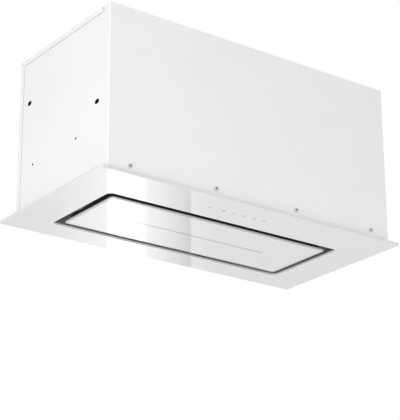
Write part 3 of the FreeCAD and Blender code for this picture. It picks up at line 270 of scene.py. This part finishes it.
def panel_glass():
    """The inner panel's glass: a clear lamp window, and painted shade of the slot: a grey border, a
    near-black band on the top of the edge, and a darker ground edge.
    """
    # The ground edge is painted darker than the plate's, partly as shade of the slot.
    material = white_glass("panel_glass", PANEL_EDGE_SHADED)
    tree = material.node_tree
    shader = tree.nodes["Principled BSDF"]
    spot = spot_on_piece(tree)
    along = math_node(tree, "LESS_THAN", math_node(tree, "ABSOLUTE", spot["X"]), WINDOW_ALONG)
    across = math_node(tree, "LESS_THAN", away_from(tree, spot["Y"], WINDOW_MIDDLE), WINDOW_ACROSS)
    window = math_node(tree, "MULTIPLY", along, across)
    # Painted shade of the slot: a grey border round the face, and a near-black band on the edge
    # above the face.
    low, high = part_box("panel_glass")
    reaches = []
    for k, key in enumerate("XY"):
        half, middle = (high[k] - low[k]) / 2, (high[k] + low[k]) / 2
        off = away_from(tree, spot[key], middle)
        reaches.append(math_node(tree, "GREATER_THAN", off, half - RIM_SHADE_WIDE))
    panel_rim_shade = math_node(tree, "MAXIMUM", *reaches)
    seal_shade = math_node(tree, "MULTIPLY", panel_rim_shade, math_node(tree, "GREATER_THAN", spot["Z"], SEAL_SHADE_RISE))
    tint = shader.inputs["Base Color"].links[0].from_socket
    tint = mix_colour(tree, window, tint, grey(WINDOW_GREY, (-0.02, 0.015, 0)))
    tint = mix_colour(tree, panel_rim_shade, tint, grey(RIM_SHADE_GREY))
    tint = mix_colour(tree, seal_shade, tint, grey(SEAL_SHADE_GREY))
    tree.links.new(tint, shader.inputs["Base Color"])
    return material


def paint_with_hole_shade():
    """White paint with near-black rings of painted shade round the large holes of both sides, so
    the holes read wider and darker.
    """
    material = white_paint()
    tree = material.node_tree
    shader = tree.nodes["Principled BSDF"]
    spot = spot_on_piece(tree)
    side = math_node(tree, "GREATER_THAN", math_node(tree, "ABSOLUTE", spot["X"]),
                     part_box("front_shell")[1][0] - SIDE_SKIN)
    hole_rim_shade = 0.0
    for y, z in BIG_HOLES:
        across = math_node(tree, "DIVIDE", math_node(tree, "SUBTRACT", spot["Y"], y), HOLE_SHADE_ACROSS)
        upward = math_node(tree, "DIVIDE", math_node(tree, "SUBTRACT", spot["Z"], z), HOLE_SHADE_UPWARD)
        reach = math_node(tree, "ADD", math_node(tree, "MULTIPLY", across, across),
                          math_node(tree, "MULTIPLY", upward, upward))
        hole_rim_shade = math_node(tree, "MAXIMUM", math_node(tree, "LESS_THAN", reach, 1), hole_rim_shade)
    hole_rim_shade = math_node(tree, "MULTIPLY", hole_rim_shade, side)
    # Painted shade: the rings round the holes take a near-black colour.
    tint = shader.inputs["Base Color"].links[0].from_socket
    tree.links.new(mix_colour(tree, hole_rim_shade, tint, grey(HOLE_SHADE_GREY)), shader.inputs["Base Color"])
    return material


# ---- nodes of the frame ------------------------------------------------------------------


def dress_nodes():
    """Every node of the frame takes the finish of its slot."""
    finishes = {
        "white_paint": white_paint(),
        "white_glass": white_glass("white_glass", PLATE_EDGE),
        "tape": rough_plastic("tape", (0.55, 0.55, 0.55), 0.85, 0.8 * MM, 0.08 * MM),
        "tray_steel": drawn_metal("tray_steel", (0.78, 0.78, 0.79), 0.5),
        "zinc_steel": drawn_metal("zinc_steel", (0.62, 0.62, 0.62), 0.34, (1, 0.1, 1)),
        "magnet": rough_plastic("magnet", (0.5, 0.5, 0.52), 0.25, metallic=1.0),
        "aluminium": drawn_metal("aluminium", (0.75, 0.75, 0.76), 0.36),
        "grey_plastic": rough_plastic("grey_plastic", (0.35, 0.36, 0.37), 0.5),
        "opal": rough_plastic("opal", (0.82, 0.85, 0.83), 0.3),
        "board": rough_plastic("board", (0.05, 0.25, 0.12), 0.35),
        "dark_plastic": rough_plastic("dark_plastic", (0.06, 0.06, 0.065), 0.5),
        "wheel_plastic": rough_plastic("wheel_plastic", (0.12, 0.12, 0.13), 0.45),
        "motor_metal": rough_plastic("motor_metal", (0.5, 0.5, 0.52), 0.45, metallic=1.0),
        "box_plastic": rough_plastic("box_plastic", (0.8, 0.8, 0.78), 0.5),
        "can": rough_plastic("can", (0.07, 0.07, 0.075), 0.4),
    }
    for row in frame["record"]["subparts"]:
        piece = frame["nodes"][row["node"]]
        piece.data.materials.clear()
        piece.data.materials.append(finishes[row["material_slot"]])
    frame["nodes"]["panel_glass"].data.materials[0] = panel_glass()
    frame["nodes"]["front_shell"].data.materials[0] = paint_with_hole_shade()
    paint_shade_on_edges()
    paint_shade_on_tray()
    return finishes


def shade_faces(name, finish, chosen):
    """The chosen faces of a node take a finish of their own."""
    piece = frame["nodes"][name]
    piece.data.materials.append(finish)
    for face in piece.data.polygons:
        if chosen(face):
            face.material_index = len(piece.data.materials) - 1


def paint_shade_on_edges():
    """Cut edges: the side holes' walls are painted near-black as shade inside the holes, and the
    seams' are painted grey as shade in the seams.
    """
    hole_wall_shade = rough_plastic("hole_wall_painted_shade", (0.02, 0.02, 0.02), 0.7)
    seam_painted_shade = rough_plastic("seam_painted_shade", (0.30, 0.30, 0.30), 0.6)
    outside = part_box("front_shell")[1][0] - WALL_SKIN
    seam_high, seam_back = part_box("top_panel")[0][2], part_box("back_panel")[0][1]

    def cut_in_side(face):
        return abs(face.normal.x) <= EDGE_LEAN and abs(face.center.x) >= outside

    def in_hole(face):
        _, y, z = face.center
        return (cut_in_side(face) and HOLE_FIELD_Y[0] < y < HOLE_FIELD_Y[1]
                and HOLE_FIELD_Z[0] < z < HOLE_FIELD_Z[1])

    def in_seam(face):
        _, y, z = face.center
        return cut_in_side(face) and min(abs(z - seam_high), abs(y - seam_back)) < SEAM_REACH

    shade_faces("front_shell", hole_wall_shade, in_hole)
    for name in ("front_shell", "top_panel", "back_panel"):
        shade_faces(name, seam_painted_shade, in_seam)


def paint_shade_on_tray():
    """The panel tray's upright walls are painted near-black: painted shade, so the slot shows them
    black over the glass.
    """
    shade_faces("panel_tray", rough_plastic("tray_wall_painted_shade", (0.02, 0.02, 0.02), 0.6),
                lambda face: abs(face.normal.z) < WALL_LEAN)


# ---- mesh building -----------------------------------------------------------------------


def add_mesh(name, mesh):
    """An object in the scene from a finished mesh."""
    data = bpy.data.meshes.new(name)
    mesh.to_mesh(data)
    mesh.free()
    made = bpy.data.objects.new(name, data)
    bpy.context.scene.collection.objects.link(made)
    return made


def arc(radius, start, stop, steps=20):
    """Points of an arc about the origin, with angles in degrees."""
    turns = [math.radians(start + (stop - start) * k / steps) for k in range(steps + 1)]
    return [(radius * math.cos(t), radius * math.sin(t)) for t in turns]


def ring(radius):
    return arc(radius, 0, 360, 32)


def band(mesh, inner, outer):
    """Faces of a closed band between two rows of points."""
    count = len(inner)
    return [mesh.faces.new((inner[k], outer[k], outer[(k + 1) % count], inner[(k + 1) % count]))
            for k in range(count)]


# ---- corner gussets ----------------------------------------------------------------------


def corner_gussets(finish):
    """Folded gussets that close the notches at the top front corners from inside."""
    low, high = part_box("front_shell")
    outer, top = high[0] - GUSSET_GAP, high[2] - GUSSET_GAP
    bend = [(outer - GUSSET_BEND + x, top - GUSSET_BEND + z)
            for x, z in arc(GUSSET_BEND, 0, 90, 6)]
    outline = [(outer, top - GUSSET_DROP)] + bend + [(outer - GUSSET_REACH, top)]
    for name, side in (("left", -1), ("right", 1)):
        mesh = bmesh.new()
        rows = [[mesh.verts.new((side * x, low[1] + y, z)) for x, z in outline]
                for y in (GUSSET_FRONT, GUSSET_BACK)]
        for k in range(len(outline) - 1):
            mesh.faces.new((rows[0][k], rows[0][k + 1], rows[1][k + 1], rows[1][k])).smooth = True
        bmesh.ops.recalc_face_normals(mesh, faces=mesh.faces)
        gusset = add_mesh(f"corner_gusset_{name}", mesh)
        solid = gusset.modifiers.new("sheet", "SOLIDIFY")
        solid.thickness, solid.offset = GUSSET_SHEET, 0
        gusset.data.materials.append(finish)
        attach(gusset, "housing")


# ---- touch symbols -----------------------------------------------------------------------


def ribbon(mesh, points, middle, level):
    """A flat printed line through points, about a middle."""
    spots = [Vector(point) for point in points]
    closed = (spots[0] - spots[-1]).length < 1e-6
    pairs = []
    for k, spot in enumerate(spots):
        before = spots[k - 1] if k else (spots[-2] if closed else spot)
        after = spots[k + 1] if k + 1 < len(spots) else (spots[1] if closed else spot)
        along = (after - before).normalized()
        off = Vector((-along.y, along.x)) * ICON_LINE / 2
        pairs.append([mesh.verts.new((middle[0] + p.x, middle[1] + p.y, level))
                      for p in (spot + off, spot - off)])
    for first, last in zip(pairs, pairs[1:]):
        mesh.faces.new((first[0], last[0], last[1], first[1]))


def ray(size, angle):
    """A short ray of the lamp symbol."""
    turn = math.radians(angle)
    return [(r * size * math.cos(turn), r * size * math.sin(turn)) for r in (0.8, 1.15)]


def touch_symbols(size):
    """The lines of six plain symbols: power, less, more, full, timer and lamp."""
    return [
        [arc(size, 125, 415), [(0, 0.35 * size), (0, 1.25 * size)]],
        [ring(size), [(-0.5 * size, 0), (0.5 * size, 0)]],
        [[(-size, 0), (size, 0)], [(0, -size), (0, size)]],
        [[(-0.7 * size, -0.9 * size), (0.1 * size, 0), (-0.7 * size, 0.9 * size)],
         [(0.1 * size, -0.9 * size), (0.9 * size, 0), (0.1 * size, 0.9 * size)]],
        [ring(size), [(0, 0.6 * size), (0, 0), (0.45 * size, -0.2 * size)]],
        [ring(0.5 * size)] + [ray(size, 45 * k) for k in range(8)],
    ]


def touch_marks():
    """The touch symbols in a row on the glass."""
    mesh = bmesh.new()
    for place, lines in zip(ICON_PLACES, touch_symbols(ICON_SIZE)):
        for line in lines:
            ribbon(mesh, line, (place, ICON_ROW), -PRINT_THICK)
    marks = add_mesh("touch_marks", mesh)
    marks.data.materials.append(rough_plastic("print_grey", (0.06, 0.06, 0.065), 0.35))
    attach(marks, "housing")


# ---- screws ------------------------------------------------------------------------------


def screw_head():
    """A pan head with a cross recess, seated at the origin and facing +Z."""
    mesh = bmesh.new()
    arm = ((CROSS_LONG, CROSS_WIDE), (CROSS_WIDE, CROSS_WIDE), (CROSS_WIDE, CROSS_LONG))
    cross = []
    for turn in range(4):
        angle = math.radians(90 * turn)
        cross += [(x * math.cos(angle) - y * math.sin(angle),
                   x * math.sin(angle) + y * math.cos(angle)) for x, y in arm]
    top = [mesh.verts.new((x, y, HEAD_HIGH)) for x, y in cross]
    low = [mesh.verts.new((x * CROSS_TAPER, y * CROSS_TAPER, HEAD_HIGH - CROSS_DEEP))
           for x, y in cross]
    # The recess faces take the second finish, the painted shade of the recess.
    for recess in band(mesh, low, top) + [mesh.faces.new(low)]:
        recess.material_index = 1
    turns = [2 * math.pi * k / HEAD_SIDES for k in range(HEAD_SIDES)]
    rows = [[mesh.verts.new((HEAD_RADIUS * across * math.cos(t), HEAD_RADIUS * across * math.sin(t),
                             HEAD_HIGH * up)) for t in turns] for across, up in HEAD_PROFILE]
    for inner, outer in zip(rows, rows[1:]):
        for face in band(mesh, inner, outer):
            face.smooth = True
    edges = [mesh.edges.get((row[k], row[(k + 1) % len(row)]))
             for row in (top, rows[0]) for k in range(len(row))]
    bmesh.ops.triangle_fill(mesh, use_beauty=True, edges=edges, normal=(0, 0, 1))
    bmesh.ops.recalc_face_normals(mesh, faces=mesh.faces)
    return mesh


def place_screws():
    """Four screws along the bottom of the front wall, and four along the back wall."""
    finish = drawn_metal("screw_steel", (0.86, 0.86, 0.86), 0.2, (1, 1, 1), 0.5 * MM)
    # The cross recess is painted near-black: painted shade in the recess.
    inside = rough_plastic("screw_recess_painted_shade", (0.03, 0.03, 0.03), 0.5)
    front_face, back_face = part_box("front_shell")[0][1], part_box("back_panel")[1][1]
    for side, face, tilt in (("front", front_face, 90), ("back", back_face, -90)):
        for k, x in enumerate(SCREW_PLACES):
            screw = add_mesh(f"{side}_screw_{k}", screw_head())
            spin = Matrix.Rotation(math.radians(FIRST_TURN + NEXT_TURN * k), 4, "Z")
            screw.matrix_world = (Matrix.Translation((x, face, SCREW_RISE))
                                  @ Matrix.Rotation(math.radians(tilt), 4, "X") @ spin)
            screw.data.materials.append(finish)
            screw.data.materials.append(inside)
            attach(screw, "housing")


# ---- grease filter -----------------------------------------------------------------------


def shared_corner(mesh, corners, spot, level):
    """The point at a spot, made once for all the diamonds that meet there."""
    key = tuple(round(c / MM, 3) for c in spot)
    if key not in corners:
        corners[key] = mesh.verts.new((*spot, level))
    return corners[key]


def expanded_layer(name, level, shift):
    """One layer of expanded metal inside the filter frame, open round the latch pad."""
    low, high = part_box("filter_mesh")
    pad_low, pad_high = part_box("latch_bezel")
    columns = int((high[0] - low[0] - 2 * LAYER_MARGIN) / STRAND_PITCH)
    rows = int((high[1] - low[1] - 2 * LAYER_MARGIN) / (STRAND_ROW / 2))
    start = (low[0] + high[0]) / 2 - columns * STRAND_PITCH / 2 + shift
    mesh = bmesh.new()
    corners = {}
    for row in range(rows - 1):
        y = low[1] + LAYER_MARGIN + row * STRAND_ROW / 2
        for column in range(columns):
            x = start + (column + (row % 2) / 2) * STRAND_PITCH
            beside = pad_low[0] - PAD_BESIDE < x and x + STRAND_PITCH < pad_high[0] + PAD_BESIDE
            if beside and y < pad_high[1] + PAD_BEHIND:
                continue
            diamond = ((x, y + STRAND_ROW / 2), (x + STRAND_PITCH / 2, y),
                       (x + STRAND_PITCH, y + STRAND_ROW / 2),
                       (x + STRAND_PITCH / 2, y + STRAND_ROW))
            mesh.faces.new([shared_corner(mesh, corners, spot, level) for spot in diamond])
    layer = add_mesh(name, mesh)
    strands = layer.modifiers.new("strands", "WIREFRAME")
    strands.thickness = STRAND_THICK
    strands.use_even_offset = False
    return layer


def dress_filter(finish):
    """Fine layers of expanded metal stand for the plain mesh."""
    low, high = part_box("filter_mesh")
    for k, (share, shift) in enumerate(FILTER_LAYERS):
        layer = expanded_layer(f"filter_layer_{k}", low[2] + (high[2] - low[2]) * share, shift)
        layer.data.materials.append(finish)
        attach(layer, "housing")
        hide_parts("filter_mesh")


# ---- studio ------------------------------------------------------------------------------


def seen(tree):
    """1 where the camera looks, straight or through gloss and glass, and 0 for other light."""
    path = node(tree, "ShaderNodeLightPath").outputs
    mirrored = math_node(tree, "MAXIMUM", path["Is Glossy Ray"], path["Is Transmission Ray"])
    return math_node(tree, "MAXIMUM", path["Is Camera Ray"], mirrored)


def make_world():
    """White wherever it is seen or mirrored, and a plain even light for the rest."""
    world = bpy.data.worlds.new("studio")
    bpy.context.scene.world = world
    world.use_nodes = True
    tree = world.node_tree
    extra = math_node(tree, "MULTIPLY", seen(tree), 1 - SKY_LEVEL)
    background = tree.nodes["Background"]
    background.inputs["Color"].default_value = (1, 1, 1, 1)
    tree.links.new(math_node(tree, "ADD", SKY_LEVEL, extra), background.inputs["Strength"])


def make_floor():
    """A plain pale floor, far below."""
    mesh = bmesh.new()
    bmesh.ops.create_grid(mesh, x_segments=4, y_segments=4, size=FLOOR_SIZE)
    floor = add_mesh("floor", mesh)
    floor.location.z = FLOOR_LEVEL
    material, tree, shader = new_material("floor_finish")
    cloud = noise(tree, on_piece(tree), 0.8, 2)
    tint = mix_colour(tree, cloud, grey(0.84), grey(0.86))
    tree.links.new(tint, shader.inputs["Base Color"])
    shader.inputs["Roughness"].default_value = 0.9
    shader.inputs["Emission Color"].default_value = (1, 1, 1, 1)
    lift = math_node(tree, "MULTIPLY", seen(tree), FLOOR_LIFT)
    tree.links.new(lift, shader.inputs["Emission Strength"])
    floor.data.materials.append(material)


def soft_light(name, place, size, power, aim):
    lamp = bpy.data.lights.new(name, "AREA")
    lamp.shape = "SQUARE"
    lamp.size = size
    lamp.energy = power
    made = bpy.data.objects.new(name, lamp)
    made.location = place
    made.rotation_euler = (Vector(aim) - Vector(place)).to_track_quat("-Z", "Y").to_euler()
    made.visible_glossy = False
    made.visible_camera = False
    bpy.context.scene.collection.objects.link(made)


def card_glow(across, left, right, stops):
    """A glow that changes along the card, from stops of a place and a strength."""
    material = bpy.data.materials.new("studio_glow")
    material.use_nodes = True
    tree = material.node_tree
    tree.nodes.clear()
    place = node(tree, "ShaderNodeTexCoord").outputs["Object"]
    span = node(tree, "ShaderNodeVectorMath", {0: place, 1: across}, operation="DOT_PRODUCT")
    along = node(tree, "ShaderNodeMapRange", {
        "Value": span.outputs["Value"], "From Min": left, "From Max": right})
    curve = node(tree, "ShaderNodeFloatCurve", {"Value": along.outputs["Result"]})
    line = curve.mapping.curves[0]
    peak = max(glow for _, glow in stops)
    spots = [((spot - left) / (right - left), glow / peak) for spot, glow in stops]
    line.points[0].location, line.points[-1].location = spots[0], spots[-1]
    for spot in spots[1:-1]:
        line.points.new(*spot)
    for point in line.points:
        point.handle_type = "VECTOR"
    curve.mapping.update()
    level = math_node(tree, "MULTIPLY", curve.outputs["Value"], peak)
    glow = node(tree, "ShaderNodeEmission", {"Color": (1, 1, 1, 1), "Strength": level})
    output = node(tree, "ShaderNodeOutputMaterial")
    tree.links.new(glow.outputs["Emission"], output.inputs["Surface"])
    return material


def make_card():
    """The far reflector, square to the camera's heading, as in a studio with soft boxes."""
    heading = math.radians(HEADING)
    ahead = Vector((math.sin(heading), math.cos(heading), 0))
    across = Vector((math.cos(heading), -math.sin(heading), 0))
    eye = Vector(EYE)
    start, reach = eye.dot(across), CARD_AWAY - eye.dot(ahead)
    stops = [(start + reach * slope, glow) for slope, glow in CARD_STOPS]
    left, right = stops[0][0], stops[-1][0]
    mesh = bmesh.new()
    mesh.faces.new([mesh.verts.new(ahead * CARD_AWAY + across * side + Vector((0, 0, z)))
                    for side, z in ((left, CARD_LOW), (right, CARD_LOW), (right, CARD_HIGH),
                                    (left, CARD_HIGH))])
    card = add_mesh("studio_card", mesh)
    card.data.materials.append(card_glow(across, left, right, stops))
    card.visible_camera = card.visible_diffuse = card.visible_shadow = False
    card.visible_transmission = False


def make_camera():
    """The photograph's viewpoint."""
    lens = bpy.data.cameras.new("camera")
    lens.lens = LENS
    lens.clip_end = VIEW_REACH
    camera = bpy.data.objects.new("camera", lens)
    heading, rise, roll = (math.radians(a) for a in (HEADING, RISE, ROLL))
    turn = (Matrix.Rotation(-heading, 4, "Z") @ Matrix.Rotation(math.pi / 2 + rise, 4, "X")
            @ Matrix.Rotation(roll, 4, "Z"))
    camera.matrix_world = Matrix.Translation(EYE) @ turn
    bpy.context.scene.collection.objects.link(camera)
    bpy.context.scene.camera = camera


def make_studio():
    bpy.context.scene.view_settings.view_transform = "Standard"
    make_camera()
    make_world()
    make_floor()
    make_card()
    for lamp in LAMPS:
        soft_light(*lamp)


make_studio()
finishes = dress_nodes()
touch_marks()
corner_gussets(finishes["white_paint"])
place_screws()
dress_filter(finishes["aluminium"])
